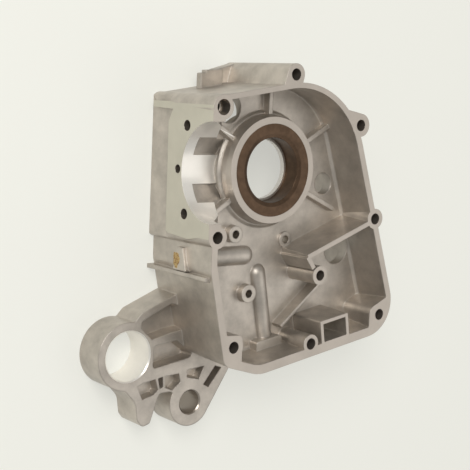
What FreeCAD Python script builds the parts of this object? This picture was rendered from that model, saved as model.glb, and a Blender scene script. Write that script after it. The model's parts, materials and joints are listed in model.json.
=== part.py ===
import FreeCAD, Part
import math
import os

# Right-hand crankcase half of a small scooter engine: one aluminium die casting
# with an iron bearing ring cast into its main boss.
#
# Frame, in millimetres: the casting lies on its rear cover face (Z = 0) with the
# machined parting face up. The Z axis is the crankshaft axis, the cylinder axis
# points along -X in the parting plane, and +Y runs up the engine.
# Angles are in degrees, measured from +X towards +Y.

V = FreeCAD.Vector
UP = V(0, 0, 1)

# ---------------------------------------------------------------- main levels
depth = 64.0                # rear face to parting face
floor_depth = 25.0          # parting face down to the chamber floor
floor_thickness = 7.0
parting = depth
floor_top = parting - floor_depth
floor_bottom = floor_top - floor_thickness
overcut = 1.0               # how far a cutting tool runs past the metal

# ------------------------------------------------------- walls of the housing
# Every wall is a straight line: the direction of its outward normal and its
# distance from the crank axis. The big arc of the D joins top and right wall.
top_angle = 99.6
right_angle = 18.7
bottom_angle = -80.7
heel_angle = -107.0         # short wall across the bottom left corner
sump_angle = -167.6         # the slanted lower left wall
left_angle = 180.0
top_reach = 52.5
right_reach = 62.1
bottom_reach = 118.5
heel_reach = 122.3
sump_reach = 66.9
left_reach = 56.0
crown_radius = 54.8         # outside of the D
toe_radius = 22.0           # bottom right corner
keel_radius = 25.0          # between the bottom and the heel wall
heel_radius = 8.0
waist_radius = 18.0         # where the slanted wall meets the left wall
shoulder_radius = 7.0       # top left corner
outer_draft = 2.6           # the outside shrinks this much towards the rear

top_wall = 3.2
right_wall = 4.2
bottom_wall = 5.8
heel_wall = 5.4
sump_wall = 4.9
left_wall = 4.2
chamber_draft = 2.4         # the chamber shrinks this much towards its floor
rear_wall = 5.0             # wall round the chamber on the cover side
rear_draft = 1.5
floor_bevel = 1.7           # bevel between walls and floor

# --------------------------------------------------- cylinder face and spigot
cylinder_face = 58.8        # crank axis to the machined cylinder face
face_proud = 2.0            # machined face above the cast side
side_low = -40.5            # lower end of the thick side under the face
side_thickness = 6.8
face_back = 43.5            # parting face to the rear edge of the machined face
ledge_height = 4.0          # the machined ledge that runs on to the rear
ledge_back = 61.0
face_top = 35.6
spigot_radius = 29.4        # half bore that takes the cylinder spigot
spigot_skin = 5.0
spigot_rim = 7.3            # full width of bore next to the face
spigot_end = 30.0           # distance of the bore's inner end from the crank axis
relief_depth = 1.6
relief_start = 17.0         # the cast reliefs lie between these angles
relief_end = 41.0
slope_start = 7.0           # below this depth the side's inner face leans inwards
slope_knee_depth = 13.5
slope_knee = 42.5           # crank axis to the inner face at the knee
slope_foot = 37.0           # and at the floor
stud_ring = 36.2            # tapped holes above and below the cylinder
stud_depth = 25.2
stud_hole = 3.2
stud_length = 16.0
centre_stud_depth = 33.2
centre_stud_hole = 2.6

# ------------------------------------------------------------ main bearing hub
hub_radius = 32.7
hub_foot = 34.8
hub_depth = 15.2            # parting face down to the hub face
hub_shoulder = 3.8          # height of the tapered band under the hub face
hub_rear_depth = 38.0
ring_radius = 28.5
ring_face = 22.6            # flat face of the ring ends here
seat_radius = 20.0          # bearing seat in the ring
seat_depth = 12.0           # ring face down to the shoulder
ring_step = 0.8
lip_radius = 18.5
lip_thickness = 3.2
rear_bore = 27.0

# --------------------------------------------------------------- radial ribs
rib_angles = (90.0, 29.5, -24.5, -147.0, 146.0)
rib_width = 3.0
rib_height = 5.0
rear_rib_height = 8.0

# -------------------------------------- bolt bosses: x, y, boss radius
outer_bosses = {
    "top": (1.8, 58.4, 6.6),
    "crown": (57.4, 29.0, 7.2),
    "waist": (74.7, -30.8, 6.5),
}
side_bosses = {
    "shoulder": (-51.6, 37.8, 7.2),
    "side": (-52.2, -37.4, 6.6),
}
inner_bosses = {
    "toe": (83.5, -94.1, 7.6),
    "bottom": (24.6, -107.8, 6.0),
    "heel": (-36.9, -103.7, 7.0),
}
bolt_bosses = {**outer_bosses, **side_bosses, **inner_bosses}
bolt_hole = 3.6             # M6 clearance
dowel_hole = 4.6            # the shoulder hole also takes a hollow dowel
dowel_depth = 9.0
centre_boss = (29.4, -64.7)
centre_boss_radius = 6.0
centre_boss_hole = 3.3
centre_boss_hole_depth = 20.0

# ------------------------------------------------------------------ oil chamber
web_start = (72.0, -32.6)
web_end = (18.6, -52.6)
web_width = 3.0
web_foot = 6.5
web_tail = (24.0, -60.0)    # a thin wall joins the web to the centre boss
baffle_start = (13.5, -98.8)
baffle_end = (46.5, -72.0)
baffle_width = 2.0
baffle_height = 8.5
gallery_radius = 6.2
gallery_height = 4.2
side_gallery_y = -53.0
side_gallery_end = -12.0
down_gallery_top = (-1.0, -65.0)
down_gallery_foot = (6.6, -106.0)
screw_bosses = (            # x, y, radius, height above the floor
    (-23.5, -39.1, 5.3, 5.5),
    (19.4, -44.6, 5.0, 1.8),
    (-11.0, -76.6, 5.7, 5.0),
)
screw_hole = 2.5
screw_hole_depth = 9.0
drain_pad = (-4.8, 15.0, -105.8)    # left, right and top edge
drain_pad_height = 7.5
window_left = 33.6
window_right = 57.2
window_height = 13.0
window_wall = 2.2
window_tilt = 9.3           # lies along the bottom wall
flood_hole = (-28.5, 36.8, 9.0)
flood_relief = (-27.0, 34.0, 9.6)   # the floor is cut back behind the flood hole
flood_floor = 2.5
breather_hole = (50.4, -9.7, 7.0)
pump_hole = (64.8, -53.0, 10.0)

# --------------------------------------------------------- lug on the top wall
top_lug_left = -31.8
top_lug_right = -15.4
top_lug_y = 60.0
top_lug_step = 1.6
top_lug_step_width = 3.6
top_lug_depth = 50.0
top_lug_thickness = 4.5
top_web_depth = 56.0

# ------------------------------------------ fin and stud pad on the lower side
fin_y = -62.3
fin_thickness = 2.6
fin_reach = 57.6
fin_gap = 3.0               # the fin stops short of the parting face
stud_pad_foot = -60.5       # lower end of the tapered stud pad
stud_pad_top = -46.5
stud_pad_front = 23.6       # parting face to the pad's front face
stud_pad_width = 13.0
stud_pad_neck = 5.0         # width at its top
stud_pad_reach = 57.4

# ------------------------------------------------------------- engine hanger
hanger_x = -83.2
hanger_y = -113.1
hanger_radius = 21.0
hanger_bore = 15.35
hanger_chamfer = 0.8
bracket_depth = 42.6        # parting face down to the bracket face
bracket_top = parting - bracket_depth
lug_x = -36.4
lug_y = -147.2
lug_radius = 15.2
toe_drop = 10.4             # the foot's toe reaches this far below the lug's axis
toe_reach = 34.4            # and this far to the left of it
toe_width = 4.6
pocket_draft = 0.16         # share by which a pocket narrows to its floor
lug_bore = 7.3
pocket_depth = 9.0
small_pocket_depth = 6.0


# ---------------------------------------------------------------- 2-D helpers
def normal(angle):
    return V(math.cos(math.radians(angle)), math.sin(math.radians(angle)), 0)


def meet(wall_a, wall_b):
    """Point where two walls, each (normal angle, distance), cross."""
    na = normal(wall_a[0])
    nb = normal(wall_b[0])
    det = na.x * nb.y - na.y * nb.x
    x = (wall_a[1] * nb.y - wall_b[1] * na.y) / det
    y = (na.x * wall_b[1] - nb.x * wall_a[1]) / det
    return x, y


def rounded_wire(corners, z):
    """Closed wire through corners (x, y, radius), each rounded by a tangent arc."""
    count = len(corners)
    starts = []
    middles = []
    ends = []
    for i, (x, y, radius) in enumerate(corners):
        here = V(x, y, z)
        before = V(corners[i - 1][0], corners[i - 1][1], z) - here
        after = V(corners[(i + 1) % count][0], corners[(i + 1) % count][1], z) - here
        before.normalize()
        after.normalize()
        half = before.getAngle(after) / 2
        bisector = before + after
        bisector.normalize()
        tangent = radius / math.tan(half)
        starts.append(here + before * tangent)
        middles.append(here + bisector * (radius / math.sin(half) - radius))
        ends.append(here + after * tangent)
    edges = []
    for i in range(count):
        if corners[i][2] > 0:
            edges.append(Part.Arc(starts[i], middles[i], ends[i]).toShape())
        edges.append(Part.LineSegment(ends[i], starts[(i + 1) % count]).toShape())
    return Part.Wire(edges)


def prism(corners, low, high):
    """Straight block over a rounded outline."""
    face = Part.Face(rounded_wire(corners, low))
    return face.extrude(V(0, 0, high - low))


def tapered(low_corners, low, high_corners, high):
    """Block whose outline changes evenly with height, as draft does."""
    wires = [rounded_wire(low_corners, low), rounded_wire(high_corners, high)]
    return Part.makeLoft(wires, True, True)


def cylinder(x, y, radius, low, high):
    return Part.makeCylinder(radius, high - low, V(x, y, low), UP)


def cone(x, y, low_radius, high_radius, low, high):
    return Part.makeCone(low_radius, high_radius, high - low, V(x, y, low), UP)


def bar(start, end, width, foot_width, low, high, round_ends=False):
    """Straight rib from start to end; its foot is wider than its top."""
    run = V(end[0] - start[0], end[1] - start[1], 0)
    length = run.Length
    angle = math.degrees(math.atan2(run.y, run.x))

    def section(half):
        reach = half if round_ends else 0
        radius = half * 0.98 if round_ends else 0
        return [
            (-reach, -half, radius),
            (length + reach, -half, radius),
            (length + reach, half, radius),
            (-reach, half, radius),
        ]

    body = tapered(section(foot_width / 2), low, section(width / 2), high)
    body.rotate(V(0, 0, 0), UP, angle)
    body.translate(V(start[0], start[1], 0))
    return body


def housing_corners(inset, shrink):
    """Outline of the housing. inset gives the wall at left, top, right, bottom,
    heel and sump; shrink moves all but the top wall further in."""
    walls = [
        (left_angle, left_reach - inset[0] - shrink, shoulder_radius),
        (top_angle, top_reach - inset[1], crown_radius),
        (right_angle, right_reach - inset[2] - shrink, toe_radius),
        (bottom_angle, bottom_reach - inset[3] - shrink, keel_radius),
        (heel_angle, heel_reach - inset[4] - shrink, heel_radius),
        (sump_angle, sump_reach - inset[5] - shrink, waist_radius),
    ]
    corners = []
    for i, wall in enumerate(walls):
        following = walls[(i + 1) % len(walls)]
        x, y = meet(wall, following)
        corners.append((x, y, max(wall[2] - inset[(i + 1) % len(walls)] - shrink, 3.0)))
    return corners


def hollow(inset, mouth_shrink, mouth, floor_shrink, floor):
    """Drafted hollow of the housing with a bevelled inside corner at its floor."""
    sections = [
        (mouth_shrink, mouth),
        (floor_shrink, floor + floor_bevel),
        (floor_shrink + floor_bevel, floor),
    ]
    wires = [rounded_wire(housing_corners(inset, shrink), z) for shrink, z in sections]
    return Part.makeLoft(wires, True, True)


# ------------------------------------------------------------ housing, outside
def cast_side():
    """Thick side wall that carries the cylinder face."""
    reach = cylinder_face - face_proud
    wall = (left_angle, reach)
    corner = meet(wall, (top_angle, top_reach))
    inner = meet((left_angle, reach - side_thickness), (top_angle, top_reach))
    corners = [
        (-reach, side_low, 1.5),
        (inner[0], side_low, 0),
        (inner[0], inner[1], 0),
        (corner[0], corner[1], shoulder_radius),
    ]
    return prism(corners, 0, parting)


def sloping_side():
    """Inner face of the thick side, upright at first, then leaning to the floor."""
    reach = cylinder_face - face_proud
    wall_top = meet((left_angle, reach), (top_angle, top_reach - top_wall / 2))
    profile = [
        V(-reach, 0, parting - slope_start),
        V(-reach + side_thickness, 0, parting - slope_start),
        V(-slope_knee, 0, parting - slope_knee_depth),
        V(-slope_foot - 1.5, 0, floor_top + floor_bevel),
        V(-slope_foot, 0, floor_top),
        V(-slope_foot, 0, floor_bottom),
        V(-reach, 0, floor_bottom),
    ]
    face = Part.Face(Part.makePolygon(profile + profile[:1]))
    face.translate(V(0, side_low, 0))
    return face.extrude(V(0, wall_top[1] - side_low, 0))


def machined_face():
    """Cylinder face, a flat pad standing proud of the cast side."""
    root = side_thickness / 2
    outline = [
        (face_top, 0.0),
        (-36.5, 0.0),
        (side_low, -21.0),
        (side_low + 1.5, -face_back + 2),
        (side_low + 5.0, -face_back),
        (face_top - 8.0, -face_back - 0.8),
        (face_top - 0.5, -face_back + 3.5),
        (face_top, -ledge_back),
        (face_top + ledge_height, -ledge_back),
        (face_top + ledge_height, -face_back),
        (face_top + 1.8, -face_back + 14.5),
    ]
    points = [V(-cylinder_face, y, parting + z) for y, z in outline]
    face = Part.Face(Part.makePolygon(points + points[:1]))
    return face.extrude(V(root, 0, 0))


def ear(name, toward):
    """Solid between a bolt boss that stands outside the wall and the wall."""
    x, y, radius = bolt_bosses[name]
    along = V(toward[0] - x, toward[1] - y, 0)
    along.normalize()
    across = V(-along.y, along.x, 0) * radius
    centre = V(x, y, 0)
    target = V(toward[0], toward[1], 0)
    points = [centre + across, target + across, target - across, centre - across]
    return Part.Face(Part.makePolygon(points + points[:1])).extrude(V(0, 0, parting))


def corner_blocks(outer):
    """Metal that joins the heel and toe bosses to their corners of the housing."""
    heel_x, heel_y, heel_r = bolt_bosses["heel"]
    toe_x, toe_y, toe_r = bolt_bosses["toe"]
    heel_block = prism([
        (heel_x + heel_r - 0.6, heel_y + heel_r - 0.2, 3.0),
        (heel_x - 20, heel_y + heel_r + 1.6, 0),
        (heel_x - 20, heel_y - 30, 0),
        (heel_x + heel_r - 0.6, heel_y - 30, 0),
    ], 0, parting)
    toe_block = prism([
        (toe_x - toe_r - 1.2, toe_y + 4.4, 6.0),
        (toe_x - toe_r - 1.2, toe_y - 30, 0),
        (toe_x + 30, toe_y - 30, 0),
        (toe_x + 30, toe_y + 24.0, 0),
        (toe_x + 5.4, toe_y + 10.8, 4.0),
    ], 0, parting)
    return outer.common(heel_block.fuse(toe_block))


def boss_columns():
    """Bolt bosses over the full depth; the side ones stop behind the machined face."""
    full_depth = {**outer_bosses, **inner_bosses}
    columns = [cylinder(x, y, r, 0, parting) for x, y, r in full_depth.values()]
    cast_plane = cylinder_face - face_proud
    behind = Part.makeBox(depth, 2 * depth, face_back - 1, V(-cast_plane, -depth, 0))
    front = Part.makeBox(depth, 2 * depth, parting, V(-cylinder_face, -depth, parting - face_back))
    for x, y, r in side_bosses.values():
        columns.append(cylinder(x, y, r, 0, parting).common(behind.fuse(front)))
    return columns


def housing_shell():
    """Walls and floor, open towards the parting face and the cover face."""
    outer = tapered(
        housing_corners((0, 0, 0, 0, 0, 0), outer_draft), 0,
        housing_corners((0, 0, 0, 0, 0, 0), 0), parting)
    walls = (left_wall, top_wall, right_wall, bottom_wall, heel_wall, sump_wall)
    overshoot = -chamber_draft * overcut / floor_depth
    chamber = hollow(walls, overshoot, parting + overcut, chamber_draft, floor_top)
    rear = (side_thickness, rear_wall, rear_wall, rear_wall, rear_wall, rear_wall)
    cover_side = tapered(
        housing_corners(rear, outer_draft), -overcut,
        housing_corners(rear, outer_draft + rear_draft), floor_bottom)
    shell = outer.cut(chamber).cut(cover_side)
    shell = shell.fuse([cast_side(), corner_blocks(outer)] + boss_columns())
    crown = ear("crown", (44.0, 31.5))
    top = ear("top", (-1.6, 46.0))
    inside = chamber.fuse(cover_side)
    return shell.fuse([crown.cut(inside), top.cut(inside)]), inside


# --------------------------------------------------------- spigot half bore
def spigot_tube(radius, start, end):
    length = end - start
    return Part.makeCylinder(radius, length, V(-end, 0, parting), V(1, 0, 0))


def spigot_cutters():
    """Half bore with three machined lands and four cast reliefs between them."""
    bore = spigot_tube(spigot_radius, spigot_end, cylinder_face + overcut)
    relief_outer = cylinder_face - spigot_rim
    ring = spigot_tube(spigot_radius + relief_depth, spigot_end, relief_outer)
    cutters = [bore]
    for side in (1, -1):
        first = math.radians(relief_start)
        last = math.radians(relief_end)
        far = 2 * spigot_radius
        wedge = Part.makePolygon([
            V(-relief_outer, 0, parting),
            V(-relief_outer, side * far * math.sin(first), parting - far * math.cos(first)),
            V(-relief_outer, side * far * math.sin(last), parting - far * math.cos(last)),
            V(-relief_outer, 0, parting),
        ])
        sector = Part.Face(wedge).extrude(V(relief_outer - spigot_end, 0, 0))
        cutters.append(ring.common(sector))
    return cutters


def stud_holes():
    """Tapped holes in the cylinder face."""
    places = [
        (math.sqrt(stud_ring ** 2 - stud_depth ** 2), stud_depth, stud_hole),
        (-math.sqrt(stud_ring ** 2 - stud_depth ** 2), stud_depth, stud_hole),
        (0.0, centre_stud_depth, centre_stud_hole),
    ]
    holes = []
    for y, below, radius in places:
        start = V(-cylinder_face - overcut, y, parting - below)
        holes.append(Part.makeCylinder(radius, stud_length + overcut, start, V(1, 0, 0)))
    return holes


# ------------------------------------------------------------------- main hub
def hub():
    face = parting - hub_depth
    band = face - hub_shoulder
    rear = parting - hub_rear_depth
    spread = (hub_foot - hub_radius) / 2
    parts = [
        cone(0, 0, hub_radius + spread, hub_radius, band, face),
        cone(0, 0, hub_foot, hub_radius + spread, floor_bottom, band),
        cone(0, 0, hub_foot + floor_bevel, hub_foot, floor_top, floor_top + floor_bevel),
        cylinder(0, 0, hub_foot, rear, floor_bottom),
    ]
    return parts[0].fuse(parts[1:])


def hub_cutters():
    face = parting - hub_depth
    seat = face - seat_depth
    return [
        cylinder(0, 0, ring_radius, seat, parting),
        cylinder(0, 0, lip_radius, 0, parting),
        cylinder(0, 0, rear_bore, -overcut, seat - lip_thickness),
    ]


def bearing_ring():
    """Iron ring: flat face, a shallow step and the bearing seat."""
    face = parting - hub_depth
    seat = face - seat_depth
    body = cylinder(0, 0, ring_radius, seat, face)
    bevel = cone(0, 0, seat_radius, ring_face, face - ring_step, face + 0.001)
    return body.cut([cylinder(0, 0, seat_radius, seat - overcut, face + overcut), bevel])


def radial_ribs(inside):
    """Low ribs from the hub to the walls, on both sides of the floor."""
    ribs = []
    reach = right_reach
    for angle in rib_angles:
        way = normal(angle)
        start = (way.x * ring_radius, way.y * ring_radius)
        end = (way.x * reach, way.y * reach)
        ribs.append(bar(start, end, rib_width, rib_width + 1, floor_top - 1, floor_top + rib_height))
        ribs.append(bar(start, end, rib_width + 1, rib_width,
                        floor_bottom - rear_rib_height, floor_bottom + 1))
    ring_hole = cylinder(0, 0, rear_bore, -overcut, parting)
    return [rib.common(inside).cut(ring_hole) for rib in ribs]


# ---------------------------------------------------------------- oil chamber
def web():
    """Diagonal wall between crank chamber and oil chamber, up to the parting face."""
    wall = bar(web_end, web_start, web_width, web_foot, floor_top - 1, parting)
    tail = bar(web_end, web_tail, web_width, web_width + 1, floor_top - 1, parting)
    baffle = bar(baffle_start, baffle_end, baffle_width, baffle_width + 1,
                 floor_top - 1, floor_top + baffle_height)
    return wall.fuse([tail, baffle])


def half_round(start, end, ball_end):
    """Oil gallery: a round ridge lying on the floor from start to end."""
    sink = floor_top + gallery_height - gallery_radius
    a = V(start[0], start[1], sink)
    b = V(end[0], end[1], sink)
    ridge = Part.makeCylinder(gallery_radius, (b - a).Length, a, b - a)
    ends = [Part.makeSphere(gallery_radius, p) for p in ball_end]
    ridge = ridge.fuse([s.translated(V(0, 0, sink)) for s in ends])
    above = cylinder(start[0], start[1], 3 * depth, floor_top - 1, parting)
    return ridge.common(above)


def galleries(inside):
    left = (-cylinder_face, side_gallery_y)
    right = (side_gallery_end, side_gallery_y)
    side = half_round(left, right, [V(right[0], right[1], 0)])
    down = half_round(down_gallery_top, down_gallery_foot,
                      [V(down_gallery_top[0], down_gallery_top[1], 0)])
    foot = down_gallery_foot
    run_out = half_round(foot, (foot[0] + 4.0, foot[1] - 26.0), [V(foot[0], foot[1], 0)])
    return [ridge.common(inside) for ridge in (side, down, run_out)]


def floor_bosses():
    bosses = []
    for x, y, radius, height in screw_bosses:
        bosses.append(cylinder(x, y, radius, floor_top - 1, floor_top + height))
    x, y = centre_boss
    bosses.append(cylinder(x, y, centre_boss_radius, floor_top - 1, parting))
    return bosses


def floor_holes():
    holes = []
    for x, y, _, height in screw_bosses:
        top = floor_top + height
        holes.append(cylinder(x, y, screw_hole, top - screw_hole_depth, top + overcut))
    x, y = centre_boss
    holes.append(cylinder(x, y, centre_boss_hole, parting - centre_boss_hole_depth, parting + 1))
    for x, y, radius in (flood_hole, breather_hole, pump_hole):
        holes.append(cylinder(x, y, radius, floor_bottom - overcut - 10, floor_top + rib_height + 1))
    x, y, radius = flood_relief
    holes.append(cylinder(x, y, radius, floor_bottom - overcut, floor_top - flood_floor))
    return holes


def drain_block(inside):
    left, right, top = drain_pad
    block = prism([
        (left, top - 1.6, 2.0),
        (left, -bottom_reach, 0),
        (right + 1.5, -bottom_reach, 0),
        (right, top + 1.6, 2.0),
    ], floor_top - 1, floor_top + drain_pad_height)
    return block.common(inside)


def window_frame():
    """Oil window: a rectangular tube that stands on the bottom wall."""
    middle = (window_left + window_right) / 2
    foot = -(bottom_reach - bottom_wall) + middle * math.tan(math.radians(window_tilt))
    half = (window_right - window_left) / 2
    outer = tapered(
        [(-half - 2, -6, 0), (half, -6, 0), (half, window_height + 1.5, 1.5),
         (-half - 2, window_height + 1.5, 1.5)], floor_bottom,
        [(-half, -6, 0), (half, -6, 0), (half, window_height, 1.0),
         (-half, window_height, 1.0)], parting)
    opening = prism([
        (-half + window_wall, -1.0, 0), (half - window_wall, -1.0, 0),
        (half - window_wall, window_height - window_wall, 0),
        (-half + window_wall, window_height - window_wall, 0)], -overcut, parting + overcut)
    placed = []
    for shape in (outer, opening):
        shape.rotate(V(0, 0, 0), UP, window_tilt)
        shape.translate(V(middle, foot, 0))
        placed.append(shape)
    return placed


# ------------------------------------------------------------- outside details
def top_lug():
    """Tab on the top wall beside the long bolt boss, and the web between them."""
    back = parting - top_lug_depth - top_lug_thickness
    front = parting - top_lug_depth
    low = top_reach - 10
    tab = prism([
        (top_lug_left, low, 0), (top_lug_right, low, 0), (top_lug_right, top_lug_y, 0.8),
        (top_lug_left + top_lug_step_width, top_lug_y - 0.8, 0.6),
        (top_lug_left + top_lug_step_width, top_lug_y - top_lug_step - 0.8, 0),
        (top_lug_left, top_lug_y - top_lug_step - 1.2, 0.8)], back, front)
    x, y, radius = bolt_bosses["top"]
    web_plate = prism([
        (top_lug_left + top_lug_step_width, low, 0), (x, low, 0), (x, y + radius, 0),
        (top_lug_right, top_lug_y, 0)], 0, parting - top_web_depth)
    return tab.fuse(web_plate)


def side_fin():
    fin = Part.makeBox(fin_reach - left_reach + 12, fin_thickness, parting - fin_gap)
    fin.translate(V(-fin_reach, fin_y - fin_thickness / 2, 0))
    return fin


def stud_pad():
    """Tapered pad on the lower side wall, standing on the fin."""
    front = parting - stud_pad_front
    middle = front - stud_pad_width / 2
    points = [
        V(-stud_pad_reach, stud_pad_foot, front),
        V(-stud_pad_reach, stud_pad_top, middle + stud_pad_neck / 2),
        V(-stud_pad_reach, stud_pad_top, middle - stud_pad_neck / 2),
        V(-stud_pad_reach, stud_pad_foot, front - stud_pad_width),
    ]
    face = Part.Face(Part.makePolygon(points + points[:1]))
    return face.extrude(V(side_thickness, 0, 0))


# ------------------------------------------------------------- hanger bracket
def bracket():
    """Hanger eye, arm, foot and damper lug in one plate, as cast."""
    x, y = hanger_x, hanger_y
    eye = cylinder(x, y, hanger_radius, 0, bracket_top)
    toe_x = lug_x - toe_reach
    toe_y = lug_y - toe_drop
    arm = prism([
        (x - 2.0, y + 20.0, 0), (-79.0, -92.4, 3.0), (-74.6, -87.6, 4.0),
        (-57.4, -80.6, 0), (-44, -75.2, 0), (-30, -118, 0), (-2, -117, 0),
        (-6.5, -128.5, 4.0), (lug_x + 13.6, lug_y - 6.8, 0), (lug_x, lug_y, 0),
        (lug_x - 15.0, lug_y + 8.6, 1.2), (lug_x - 23.6, lug_y + 8.6, 3.0),
        (toe_x + toe_width, toe_y + 1.0, 2.5), (toe_x - 1.0, toe_y - 0.6, 3.0),
        (toe_x - toe_width, toe_y + 4.0, 3.0), (-77.0, -142.5, 9.0), (x - 2.0, y - 20.6, 0),
        (x, y, 0)], 0, bracket_top)
    eye_lug = cylinder(lug_x, lug_y, lug_radius, 0, bracket_top)
    return eye.fuse([arm, eye_lug])


def pocket(outline, sink):
    """Tool for a drafted pocket: its outline closes in towards its own middle."""
    middle_x = sum(corner[0] for corner in outline) / len(outline)
    middle_y = sum(corner[1] for corner in outline) / len(outline)

    def closed_in(share):
        return [
            (x + (middle_x - x) * share, y + (middle_y - y) * share, radius * (1 - share))
            for x, y, radius in outline
        ]

    over = -pocket_draft * overcut / sink
    return tapered(closed_in(pocket_draft), bracket_top - sink, closed_in(over), bracket_top + overcut)


def bracket_pockets():
    """Weight-saving pockets in the bracket face."""
    large = [
        [(-74.0, -92.4, 2.0), (-52.5, -83.0, 2.0), (-36.0, -88.5, 0), (-40.0, -99.5, 0),
         (-52.0, -101.2, 2.0), (-66.5, -104.4, 2.0), (-74.4, -96.6, 2.0)],
        [(-64.6, -108.4, 2.0), (-48.0, -106.4, 2.0), (-35.0, -116.6, 1.5), (-38.5, -118.6, 1.5),
         (-65.4, -122.8, 2.0)],
    ]
    small = [
        [(-75.9, -132.4, 0), (-72.0, -130.8, 0), (-62.9, -129.4, 0), (-60.6, -136.4, 0),
         (-63.6, -138.9, 0), (-72.2, -141.0, 0)],
        [(-61.0, -129.2, 0), (-57.4, -128.4, 0), (-57.0, -135.0, 0), (-59.6, -135.6, 0)],
        [(-56.2, -128.4, 0), (-45.4, -127.8, 0), (-44.2, -133.4, 0), (-49.9, -138.0, 0),
         (-55.4, -135.6, 0)],
        [(-39.6, -126.3, 0), (-26.1, -125.2, 0), (-29.8, -133.3, 0), (-39.2, -131.0, 0)],
        [(-17.6, -126.0, 0), (-12.6, -127.6, 0), (-22.0, -139.4, 0), (-26.4, -137.2, 0)],
    ]
    tools = [pocket(outline, pocket_depth) for outline in large]
    tools += [pocket(outline, small_pocket_depth) for outline in small]
    return tools


def bores():
    x, y = hanger_x, hanger_y
    holes = [
        cylinder(x, y, hanger_bore, -overcut, bracket_top + overcut),
        cylinder(lug_x, lug_y, lug_bore, -overcut, bracket_top + overcut),
    ]
    for eye_x, eye_y, radius in ((x, y, hanger_bore), (lug_x, lug_y, lug_bore)):
        holes.append(cone(eye_x, eye_y, radius, radius + hanger_chamfer,
                          bracket_top - hanger_chamfer, bracket_top + 0.001))
    for name, (bx, by, _) in bolt_bosses.items():
        holes.append(cylinder(bx, by, bolt_hole, -overcut, parting + overcut))
        if name == "shoulder":
            holes.append(cylinder(bx, by, dowel_hole, parting - dowel_depth, parting + overcut))
    return holes


# --------------------------------------------------------------------- casting
def casting():
    shell, inside = housing_shell()
    chamber_space = cylinder(0, 0, 4 * depth, floor_top - 1, parting).common(inside)
    slope = sloping_side()
    bulge = spigot_tube(spigot_radius + spigot_skin, spigot_end, cylinder_face - face_proud)
    below = Part.makeBox(2 * cylinder_face, 4 * spigot_radius, floor_top,
                         V(-2 * cylinder_face, -2 * spigot_radius, 0))
    body = shell.fuse([slope, bulge.common(below), machined_face()])
    body = body.cut(spigot_cutters())
    tube, opening = window_frame()
    above_floor = cylinder(0, 0, 4 * depth, floor_top - 1, parting)
    plate = bracket().cut(bracket_pockets()).cut(inside)
    additions = [hub(), web(), top_lug().cut(inside), side_fin().cut(inside)]
    additions += [stud_pad().cut(inside), plate]
    additions += radial_ribs(inside)
    additions += galleries(chamber_space)
    additions += floor_bosses()
    additions += [drain_block(chamber_space), tube.common(above_floor)]
    body = body.fuse(additions)
    cutters = hub_cutters() + stud_holes() + floor_holes() + bores()
    cutters.append(opening)
    return body.cut(cutters).removeSplitter()


def main():
    os.makedirs("parts", exist_ok=True)
    nodes = {"crankcase_casting": casting(), "bearing_seat_ring": bearing_ring()}
    for name, shape in nodes.items():
        box = shape.BoundBox
        print(name, len(shape.Solids), "solid", round(shape.Volume), "mm3", "valid", shape.isValid(),
              round(box.XLength, 1), round(box.YLength, 1), round(box.ZLength, 1), round(box.ZMin, 3))
        shape.exportStep("parts/" + name + ".step")


main()
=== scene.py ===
"""Looks of the die cast crankcase half: finishes, paint dab, stage, light and camera."""

import json
import logging
import math
from dataclasses import dataclass
from enum import Enum
from typing import Dict, List, Tuple

import bpy
import numpy as np
from mathutils import Matrix, Vector


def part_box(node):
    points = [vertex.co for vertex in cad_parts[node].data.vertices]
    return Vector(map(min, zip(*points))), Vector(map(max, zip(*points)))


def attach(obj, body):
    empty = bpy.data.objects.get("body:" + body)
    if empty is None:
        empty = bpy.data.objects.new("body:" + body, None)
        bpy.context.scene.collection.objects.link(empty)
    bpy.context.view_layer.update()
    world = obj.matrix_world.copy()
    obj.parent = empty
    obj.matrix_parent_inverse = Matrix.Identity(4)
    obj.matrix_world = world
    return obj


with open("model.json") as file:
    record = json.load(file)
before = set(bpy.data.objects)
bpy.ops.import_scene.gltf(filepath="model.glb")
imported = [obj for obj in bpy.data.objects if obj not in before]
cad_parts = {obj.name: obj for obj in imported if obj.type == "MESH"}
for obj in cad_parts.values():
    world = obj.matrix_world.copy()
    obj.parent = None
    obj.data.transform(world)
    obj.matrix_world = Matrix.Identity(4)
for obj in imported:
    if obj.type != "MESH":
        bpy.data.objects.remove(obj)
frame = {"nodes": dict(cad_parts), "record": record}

logging.basicConfig(level=logging.INFO, format="%(name)s: %(message)s")
log = logging.getLogger("crankcase")

MM = 0.001
WAVE_PITCH = 0.314  # spacing of a wave texture's bands at a scale of 1
OBJECT_MIDDLE = (0.0, -0.04, 0.03)
Colour = Tuple[float, float, float]
Hole = Tuple[float, float, float]


class Surface(Enum):
    """The ways a surface of the casting was made."""

    CAST = "cast_skin"
    MILLED = "milled_joint_face"
    FACED = "faced_cylinder_side"
    TURNED = "turned_bore"
    DRILLED = "drilled_hole"
    IRON = "turned_iron"


@dataclass(frozen=True)
class Finish:
    """One finish of a metal or paint.

    Args:
        colour: linear base colour.
        roughness: mean roughness of the surface.
        metallic: 1 for bare metal, 0 for paint.
        mottle: how far the colour drifts between patches, 0 to 1.
        mottle_size: size of those patches in metres.
        grain: depth of the fine grain as bump strength.
        grain_size: size of one grain in metres.
        edge: radius in metres to which sharp edges look rounded.
        rings: spacing in metres of turning marks along Z, 0 for none.
    """

    colour: Colour
    roughness: float
    metallic: float = 1.0
    mottle: float = 0.0
    mottle_size: float = 0.02
    grain: float = 0.0
    grain_size: float = 0.0006
    edge: float = 0.0
    rings: float = 0.0


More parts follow.
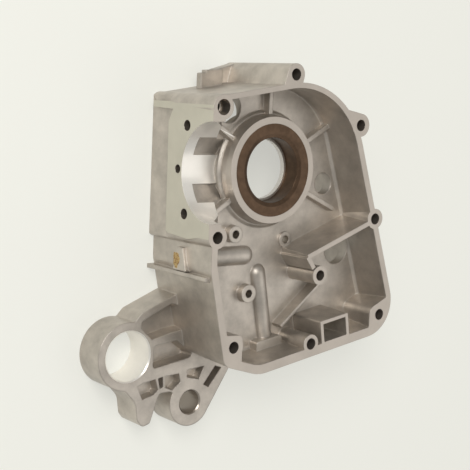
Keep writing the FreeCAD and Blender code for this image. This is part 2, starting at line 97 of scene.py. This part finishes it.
FINISHES: Dict[Surface, Finish] = {
    Surface.CAST: Finish(
        colour=(0.525, 0.48, 0.43), roughness=0.44, metallic=0.84, mottle=0.17,
        mottle_size=0.013, grain=0.20, grain_size=0.0009, edge=0.0011,
    ),
    Surface.MILLED: Finish(
        colour=(0.52, 0.47, 0.42), roughness=0.42, metallic=0.85, mottle=0.06,
        grain=0.04, grain_size=0.0009, edge=0.0003,
    ),
    Surface.FACED: Finish(
        colour=(0.60, 0.57, 0.49), roughness=0.38, metallic=0.85, mottle=0.05,
        grain=0.03, grain_size=0.0010, edge=0.0004,
    ),
    Surface.TURNED: Finish(
        colour=(0.95, 0.92, 0.87), roughness=0.30, metallic=0.55, mottle=0.04,
        edge=0.0002, rings=0.0005,
    ),
    Surface.DRILLED: Finish(
        colour=(0.44, 0.39, 0.34), roughness=0.28, metallic=0.85, edge=0.0002,
        rings=0.0010,
    ),
    Surface.IRON: Finish(
        colour=(0.105, 0.066, 0.042), roughness=0.34, metallic=0.9, mottle=0.22,
        mottle_size=0.006, grain=0.05, edge=0.0003, rings=0.0007,
    ),
}


class NodeBench:
    """Builds the shader nodes of one finish.

    Args:
        name: name of the new material.
    """

    def __init__(self, name: str) -> None:
        self.material = bpy.data.materials.new(name)
        self.material.use_nodes = True
        self.tree = self.material.node_tree
        self.shader = self.tree.nodes["Principled BSDF"]

    def add(self, kind: str, **inputs: object) -> bpy.types.Node:
        """Adds a node and sets its inputs.

        Args:
            kind: Blender's node type name.
            inputs: input names, with _ for a space, and their values.

        Returns:
            The new node.
        """
        node = self.tree.nodes.new(kind)
        for key, value in inputs.items():
            node.inputs[key.replace("_", " ")].default_value = value
        return node

    def wire(self, source: bpy.types.NodeSocket, target: bpy.types.NodeSocket) -> None:
        """Links two sockets.

        Args:
            source: output socket.
            target: input socket.
        """
        self.tree.links.new(source, target)


def make_metal(surface: Surface) -> bpy.types.Material:
    """Makes the material of one metal finish.

    Args:
        surface: which finish to make.

    Returns:
        The material, driven by Object coordinates only.
    """
    finish = FINISHES[surface]
    bench = NodeBench(surface.value)
    shader = bench.shader
    shader.inputs["Base Color"].default_value = (*finish.colour, 1.0)
    shader.inputs["Roughness"].default_value = finish.roughness
    shader.inputs["Metallic"].default_value = finish.metallic
    place = bench.add("ShaderNodeTexCoord").outputs["Object"]
    if finish.mottle > 0:
        patches = bench.add("ShaderNodeTexNoise", Scale=1.0 / finish.mottle_size, Detail=5.0, Roughness=0.62)
        bench.wire(place, patches.inputs["Vector"])
        ramp = bench.add("ShaderNodeValToRGB")
        dark = tuple(channel * (1 - finish.mottle) for channel in finish.colour)
        light = tuple(min(channel * (1 + finish.mottle), 1.0) for channel in finish.colour)
        ramp.color_ramp.elements[0].position = 0.32
        ramp.color_ramp.elements[0].color = (*dark, 1.0)
        ramp.color_ramp.elements[1].position = 0.68
        ramp.color_ramp.elements[1].color = (*light, 1.0)
        bench.wire(patches.outputs["Fac"], ramp.inputs["Fac"])
        bench.wire(ramp.outputs["Color"], shader.inputs["Base Color"])
    normal = None
    if finish.edge > 0:
        rounding = bench.add("ShaderNodeBevel", Radius=finish.edge)
        rounding.samples = 6
        normal = rounding.outputs["Normal"]
    if finish.rings > 0:
        wave = bench.add("ShaderNodeTexWave", Scale=WAVE_PITCH / finish.rings, Distortion=0.6)
        wave.bands_direction = "Z"
        bench.wire(place, wave.inputs["Vector"])
        marks = bench.add("ShaderNodeBump", Strength=0.25, Distance=0.00003)
        bench.wire(wave.outputs["Fac"], marks.inputs["Height"])
        if normal is not None:
            bench.wire(normal, marks.inputs["Normal"])
        normal = marks.outputs["Normal"]
    if finish.grain > 0:
        speckle = bench.add("ShaderNodeTexNoise", Scale=1.0 / finish.grain_size, Detail=3.0, Roughness=0.6)
        bench.wire(place, speckle.inputs["Vector"])
        bump = bench.add("ShaderNodeBump", Strength=finish.grain, Distance=0.0002)
        bench.wire(speckle.outputs["Fac"], bump.inputs["Height"])
        if normal is not None:
            bench.wire(normal, bump.inputs["Normal"])
        normal = bump.outputs["Normal"]
    if normal is not None:
        bench.wire(normal, shader.inputs["Normal"])
    return bench.material


@dataclass
class CastingRegions:
    """Where the casting was machined after casting, in the row's frame.

    Args:
        joint_z: height of the milled joint face.
        holes: centre and radius of each hole along Z, by mount name.
        studs: centre (y, z) and radius of each tapped hole in the cylinder side.
        side_x: place of the faced cylinder side.
        stud_reach: depth of the tapped holes from that side, with a margin.
        hub_z: height of the hub's turned face.
        hub_radius: outer radius of that face.
        hub_height: rise of the hub above the floor round it.
        hub_flare: how far its side may lie inside and outside that radius.
        pad: greatest x, and least and greatest y, of the stud pad on the lower side.
        pad_drop: least depth of the pad's edge below the joint face.
        spigot_radius: radius of the half bore along X at the joint face.
        spigot_inner: where the turned part of the half bore ends.
        spigot_play: how far off the half bore's radius its turned faces may lie.
        lip_radius: radius up to which the crank bore counts as turned.
        margin: how far past its radius a hole's own faces may lie.
        stud_margin: the same for the tapped holes.
        flush: how far off its plane a machined face may lie.
    """

    joint_z: float
    holes: Dict[str, Hole]
    studs: List[Hole]
    side_x: float = -58.8 * MM
    stud_reach: float = 17 * MM
    hub_z: float = 48.8 * MM
    hub_radius: float = 33.2 * MM
    hub_height: float = 9.8 * MM
    hub_flare: Tuple[float, float] = (1.5 * MM, 2.0 * MM)
    pad: Tuple[float, float, float] = (-50.0 * MM, -60.5 * MM, -46.5 * MM)
    pad_drop: float = 10 * MM
    spigot_radius: float = 29.4 * MM
    spigot_inner: float = -29.0 * MM
    spigot_play: float = 0.15 * MM
    lip_radius: float = 18.8 * MM
    margin: float = 0.9 * MM
    stud_margin: float = 0.2 * MM
    flush: float = 0.05 * MM

    @classmethod
    def from_record(cls, joint_z: float, mounts: List[dict]) -> "CastingRegions":
        """Reads the holes from the record's mounts.

        Args:
            joint_z: height of the milled joint face.
            mounts: the mounts of the record.

        Returns:
            The regions of this casting.
        """
        holes: Dict[str, Hole] = {}
        studs: List[Hole] = []
        for mount in mounts:
            if "r_mm" not in mount["dims"]:
                continue
            x, y, z = mount["pos_m"]
            radius = mount["dims"]["r_mm"] * MM
            if abs(mount["axis"][2]) > 0.5:
                holes[mount["name"]] = (x, y, radius)
            else:
                studs.append((y, z, radius))
        return cls(joint_z, holes, studs)


class CrankcaseCasting:
    """The aluminium casting with its cast skin and machined faces."""

    name = "crankcase_casting"
    turned_eye = "hanger_bore"
    ring_seat = "bearing_seat"

    def __init__(self, node: bpy.types.Object, regions: CastingRegions) -> None:
        self.node = node
        self.regions = regions

    def dress(self, metals: Dict[Surface, bpy.types.Material]) -> None:
        """Gives every face of the casting the finish it was left with.

        Args:
            metals: the materials by surface.
        """
        order = [Surface.CAST, Surface.MILLED, Surface.FACED, Surface.TURNED, Surface.DRILLED]
        mesh = self.node.data
        mesh.materials.clear()
        for surface in order:
            mesh.materials.append(metals[surface])
        centres, normals = face_table(mesh)
        picked = np.zeros(len(centres), np.int32)
        for surface, mask in self.masks(centres, normals).items():
            picked[mask] = order.index(surface)
            log.info("%s: %d faces are %s", self.name, int(mask.sum()), surface.value)
        mesh.polygons.foreach_set("material_index", picked)
        mesh.update()

    def masks(self, centres: np.ndarray, normals: np.ndarray) -> Dict[Surface, np.ndarray]:
        """Finds the machined faces.

        Args:
            centres: centre of each face.
            normals: normal of each face.

        Returns:
            A mask over the faces for each machined surface.
        """
        area = self.regions
        x, y, z = centres.T
        flat_up = normals[:, 2] > 0.98
        upright = np.abs(normals[:, 2]) < 0.35
        from_crank = np.hypot(x, y)
        from_spigot = np.hypot(y, z - area.joint_z)
        faced = (normals[:, 0] < -0.98) & (np.abs(x - area.side_x) < area.flush)
        pad_edge = flat_up & (x < area.pad[0]) & (y > area.pad[1]) & (y < area.pad[2])
        faced |= pad_edge & (z < area.joint_z - area.pad_drop)
        hub_face = flat_up & (np.abs(z - area.hub_z) < area.flush) & (from_crank < area.hub_radius)
        hub_side = upright & (from_crank > area.hub_radius - area.hub_flare[0])
        hub_side &= from_crank < area.hub_radius + area.hub_flare[1]
        milled = flat_up & (z > area.joint_z - area.flush)
        milled |= hub_face | (hub_side & (z > area.hub_z - area.hub_height))
        spigot = (np.abs(from_spigot - area.spigot_radius) < area.spigot_play) & (x < area.spigot_inner)
        turned = (spigot & (np.abs(normals[:, 0]) < 0.1)) | (upright & (from_crank < area.lip_radius))
        drilled = (normals[:, 0] > -0.9) & (x < area.side_x + area.stud_reach) & self.near_studs(y, z)
        for name, (hole_x, hole_y, radius) in area.holes.items():
            inside = (np.hypot(x - hole_x, y - hole_y) < radius + area.margin) & (np.abs(normals[:, 2]) < 0.9)
            if name == self.turned_eye:
                turned |= inside
            elif name != self.ring_seat:
                drilled |= inside
        return {Surface.MILLED: milled, Surface.FACED: faced, Surface.TURNED: turned, Surface.DRILLED: drilled}

    def near_studs(self, y: np.ndarray, z: np.ndarray) -> np.ndarray:
        """Marks the faces of the tapped holes in the cylinder side.

        Args:
            y: place of each face along Y.
            z: place of each face along Z.

        Returns:
            A mask over the faces.
        """
        near = np.zeros(len(y), bool)
        for stud_y, stud_z, radius in self.regions.studs:
            near |= np.hypot(y - stud_y, z - stud_z) < radius + self.regions.stud_margin
        return near


class BearingSeatRing:
    """The iron ring cast into the hub."""

    name = "bearing_seat_ring"

    def __init__(self, node: bpy.types.Object) -> None:
        self.node = node

    def dress(self, metals: Dict[Surface, bpy.types.Material]) -> None:
        """Gives the ring its turned iron finish.

        Args:
            metals: the materials by surface.
        """
        self.node.data.materials.clear()
        self.node.data.materials.append(metals[Surface.IRON])
        log.info("%s: turned iron", self.name)


@dataclass(frozen=True)
class PaintDab:
    """A dab of inspection paint on the stud pad of the lower side.

    Args:
        centre: its middle on the pad, in the row's frame.
        width: size along Z.
        height: size along Y.
        swell: thickness of the paint.
        rings: number of rings from the middle to the rim.
        spokes: number of points round each ring.
    """

    centre: Tuple[float, float, float] = (-57.42 * MM, -54.4 * MM, 30.7 * MM)
    width: float = 6.4 * MM
    height: float = 9.6 * MM
    swell: float = 0.35 * MM
    rings: int = 14
    spokes: int = 72

    def surface(self) -> Tuple[np.ndarray, np.ndarray]:
        """Works out the domed surface with its uneven rim.

        Returns:
            The vertices, and the faces as vertex numbers.
        """
        turn = np.linspace(0, 2 * math.pi, self.spokes, endpoint=False)
        share = np.linspace(0, 1, self.rings)[:, None]
        rim = 1 + 0.10 * np.sin(3 * turn + 0.6) + 0.07 * np.sin(5 * turn + 2.0) + 0.04 * np.sin(9 * turn)
        across = share * rim * np.cos(turn) * self.width / 2
        along = share * rim * np.sin(turn) * self.height / 2
        lift = self.swell * (1 - share ** 4) * (1 + 0.25 * np.sin(4 * turn + 5 * share))
        x = self.centre[0] - lift
        points = np.stack([x, self.centre[1] + along, self.centre[2] + across], axis=-1).reshape(-1, 3)
        ring, spoke = np.meshgrid(np.arange(self.rings - 1), np.arange(self.spokes), indexing="ij")
        start = ring * self.spokes
        following = (spoke + 1) % self.spokes
        quads = np.stack([start + spoke, start + self.spokes + spoke,
                          start + self.spokes + following, start + following], axis=-1)
        return points, quads.reshape(-1, 4)

    def build(self) -> bpy.types.Object:
        """Builds the dab and lets it ride on the casting.

        Returns:
            The new object.
        """
        points, faces = self.surface()
        mesh = bpy.data.meshes.new("paint_dab")
        mesh.from_pydata(points.tolist(), [], faces.tolist())
        mesh.polygons.foreach_set("use_smooth", np.ones(len(faces), bool))
        mesh.materials.append(self.paint())
        dab = bpy.data.objects.new("paint_dab", mesh)
        bpy.context.scene.collection.objects.link(dab)
        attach(dab, "root")
        log.info("paint_dab: %d faces", len(faces))
        return dab

    def paint(self) -> bpy.types.Material:
        """Makes the speckled yellow brown paint.

        Returns:
            The material.
        """
        bench = NodeBench("inspection_paint")
        bench.shader.inputs["Roughness"].default_value = 0.5
        place = bench.add("ShaderNodeTexCoord").outputs["Object"]
        speckle = bench.add("ShaderNodeTexNoise", Scale=900.0, Detail=3.0)
        ramp = bench.add("ShaderNodeValToRGB")
        ramp.color_ramp.elements[0].position = 0.38
        ramp.color_ramp.elements[0].color = (0.26, 0.13, 0.035, 1.0)
        ramp.color_ramp.elements[1].position = 0.64
        ramp.color_ramp.elements[1].color = (0.62, 0.46, 0.20, 1.0)
        bench.wire(place, speckle.inputs["Vector"])
        bench.wire(speckle.outputs["Fac"], ramp.inputs["Fac"])
        bench.wire(ramp.outputs["Color"], bench.shader.inputs["Base Color"])
        return bench.material


def face_table(mesh: bpy.types.Mesh) -> Tuple[np.ndarray, np.ndarray]:
    """Reads the faces of a mesh.

    Args:
        mesh: the mesh.

    Returns:
        The centre and the normal of each face.
    """
    count = len(mesh.polygons)
    centres = np.zeros(count * 3, np.float32)
    normals = np.zeros(count * 3, np.float32)
    mesh.polygons.foreach_get("center", centres)
    mesh.polygons.foreach_get("normal", normals)
    return centres.reshape(-1, 3), normals.reshape(-1, 3)


@dataclass(frozen=True)
class StudioSizes:
    """Sizes and levels of the studio, in metres and watts."""

    floor_size: float = 6.0
    floor_colour: Colour = (0.84, 0.84, 0.78)
    seen_colour: Colour = (1.0, 1.0, 0.935)
    seen_share: float = 0.5
    world_strength: float = 0.46
    key_power: float = 10.0
    key_size: float = 0.7
    fill_power: float = 2.7
    fill_size: float = 1.1


class Studio:
    """Pale floor, soft world and two large lamps."""

    def __init__(self, sizes: StudioSizes) -> None:
        self.sizes = sizes

    def build(self) -> None:
        """Builds the floor, the world and the lamps."""
        self.floor()
        self.world()
        self.lamp("key", (-0.75, 0.55, 1.05), self.sizes.key_size, self.sizes.key_power, (1.0, 0.985, 0.95))
        self.lamp("fill", (0.85, -0.25, 1.1), self.sizes.fill_size, self.sizes.fill_power, (1.0, 0.97, 0.93))
        log.info("studio is built")

    def floor(self) -> None:
        """Lays the pale floor, brightened where the camera sees it."""
        half = self.sizes.floor_size / 2
        corners = [(-half, -half, 0), (half, -half, 0), (half, half, 0), (-half, half, 0)]
        mesh = bpy.data.meshes.new("studio_floor")
        mesh.from_pydata(corners, [], [(0, 1, 2, 3)])
        plane = bpy.data.objects.new("studio_floor", mesh)
        bpy.context.scene.collection.objects.link(plane)
        bench = NodeBench("studio_paper")
        bench.shader.inputs["Base Color"].default_value = (*self.sizes.floor_colour, 1.0)
        bench.shader.inputs["Roughness"].default_value = 0.9
        glow = bench.add("ShaderNodeEmission", Color=(*self.sizes.seen_colour, 1.0), Strength=1.0)
        rays = bench.add("ShaderNodeLightPath")
        share = bench.add("ShaderNodeMath")
        share.operation = "MULTIPLY"
        share.inputs[1].default_value = self.sizes.seen_share
        seen = bench.add("ShaderNodeMath")
        seen.operation = "MAXIMUM"
        blend = bench.add("ShaderNodeMixShader")
        output = bench.tree.nodes["Material Output"]
        bench.wire(rays.outputs["Is Camera Ray"], seen.inputs[0])
        bench.wire(rays.outputs["Is Glossy Ray"], seen.inputs[1])
        bench.wire(seen.outputs[0], share.inputs[0])
        bench.wire(share.outputs[0], blend.inputs[0])
        bench.wire(bench.shader.outputs[0], blend.inputs[1])
        bench.wire(glow.outputs[0], blend.inputs[2])
        bench.wire(blend.outputs[0], output.inputs["Surface"])
        mesh.materials.append(bench.material)

    def world(self) -> None:
        """Sets a soft pale world."""
        world = bpy.data.worlds.new("studio_world")
        bpy.context.scene.world = world
        world.use_nodes = True
        tree = world.node_tree
        lit = tree.nodes["Background"]
        lit.inputs["Color"].default_value = (0.90, 0.90, 0.87, 1.0)
        lit.inputs["Strength"].default_value = self.sizes.world_strength
        seen = tree.nodes.new("ShaderNodeBackground")
        seen.inputs["Color"].default_value = (*self.sizes.seen_colour, 1.0)
        rays = tree.nodes.new("ShaderNodeLightPath")
        blend = tree.nodes.new("ShaderNodeMixShader")
        tree.links.new(rays.outputs["Is Camera Ray"], blend.inputs[0])
        tree.links.new(lit.outputs[0], blend.inputs[1])
        tree.links.new(seen.outputs[0], blend.inputs[2])
        tree.links.new(blend.outputs[0], tree.nodes["World Output"].inputs["Surface"])

    def lamp(
        self, name: str, place: Tuple[float, float, float], size: float, power: float, tint: Colour
    ) -> None:
        """Hangs one square lamp that faces the object.

        Args:
            name: name of the lamp.
            place: where it hangs.
            size: length of its side.
            power: its power in watts.
            tint: colour of its light.
        """
        data = bpy.data.lights.new(name, "AREA")
        data.size = size
        data.energy = power
        data.color = tint
        lamp = bpy.data.objects.new(name, data)
        bpy.context.scene.collection.objects.link(lamp)
        lamp.location = place
        toward = Vector(OBJECT_MIDDLE) - Vector(place)
        lamp.rotation_euler = toward.to_track_quat("-Z", "Y").to_euler()


@dataclass(frozen=True)
class Viewpoint:
    """Where the camera stands.

    Args:
        side_deg: turn of the sight line from the joint face's normal towards -X.
        rise_deg: rise of the camera above the crank axis towards +Y.
        tilt_deg: roll of the camera about its own sight line.
        distance: camera to the aimed point.
        aim: point on the joint face that the camera aims at, from the crank axis.
        lens: focal length in millimetres on the sensor below.
        sensor: width of the sensor in millimetres.
    """

    side_deg: float = 38.33
    rise_deg: float = 7.16
    tilt_deg: float = 2.46
    distance: float = 0.671
    aim: Tuple[float, float] = (-0.0397, -0.0362)
    lens: float = 88.1
    sensor: float = 36.0


class Photographer:
    """Sets the camera for one viewpoint."""

    def __init__(self, viewpoint: Viewpoint) -> None:
        self.viewpoint = viewpoint

    def place(self, joint_z: float) -> None:
        """Creates the camera and makes it the scene's own.

        Args:
            joint_z: height of the joint face that the aim point lies on.
        """
        spot = self.viewpoint
        side = math.radians(spot.side_deg)
        rise = math.radians(spot.rise_deg)
        back = Vector((-math.sin(side) * math.cos(rise), math.sin(rise), math.cos(side) * math.cos(rise)))
        right = Vector((0.0, 1.0, 0.0)).cross(back).normalized()
        up = back.cross(right)
        tilt = Matrix.Rotation(math.radians(spot.tilt_deg), 3, back)
        axes = Matrix((tilt @ right, tilt @ up, back)).transposed()
        data = bpy.data.cameras.new("camera")
        data.lens = spot.lens
        data.sensor_width = spot.sensor
        data.clip_start = 0.01
        camera = bpy.data.objects.new("camera", data)
        bpy.context.scene.collection.objects.link(camera)
        place = Vector((*spot.aim, joint_z)) + back * spot.distance
        camera.matrix_world = Matrix.Translation(place) @ axes.to_4x4()
        bpy.context.scene.camera = camera
        log.info("camera stands at %s", tuple(round(value, 3) for value in place))


def main() -> None:
    """Dresses the casting and sets the stage."""
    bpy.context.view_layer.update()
    joint_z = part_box(CrankcaseCasting.name)[1].z
    metals = {surface: make_metal(surface) for surface in Surface}
    nodes = frame["nodes"]
    regions = CastingRegions.from_record(joint_z, frame["record"]["mounts"])
    CrankcaseCasting(nodes[CrankcaseCasting.name], regions).dress(metals)
    BearingSeatRing(nodes[BearingSeatRing.name]).dress(metals)
    PaintDab().build()
    Studio(StudioSizes()).build()
    Photographer(Viewpoint()).place(joint_z)
    bpy.context.scene.view_settings.view_transform = "Standard"


if __name__ == "__main__":
    main()
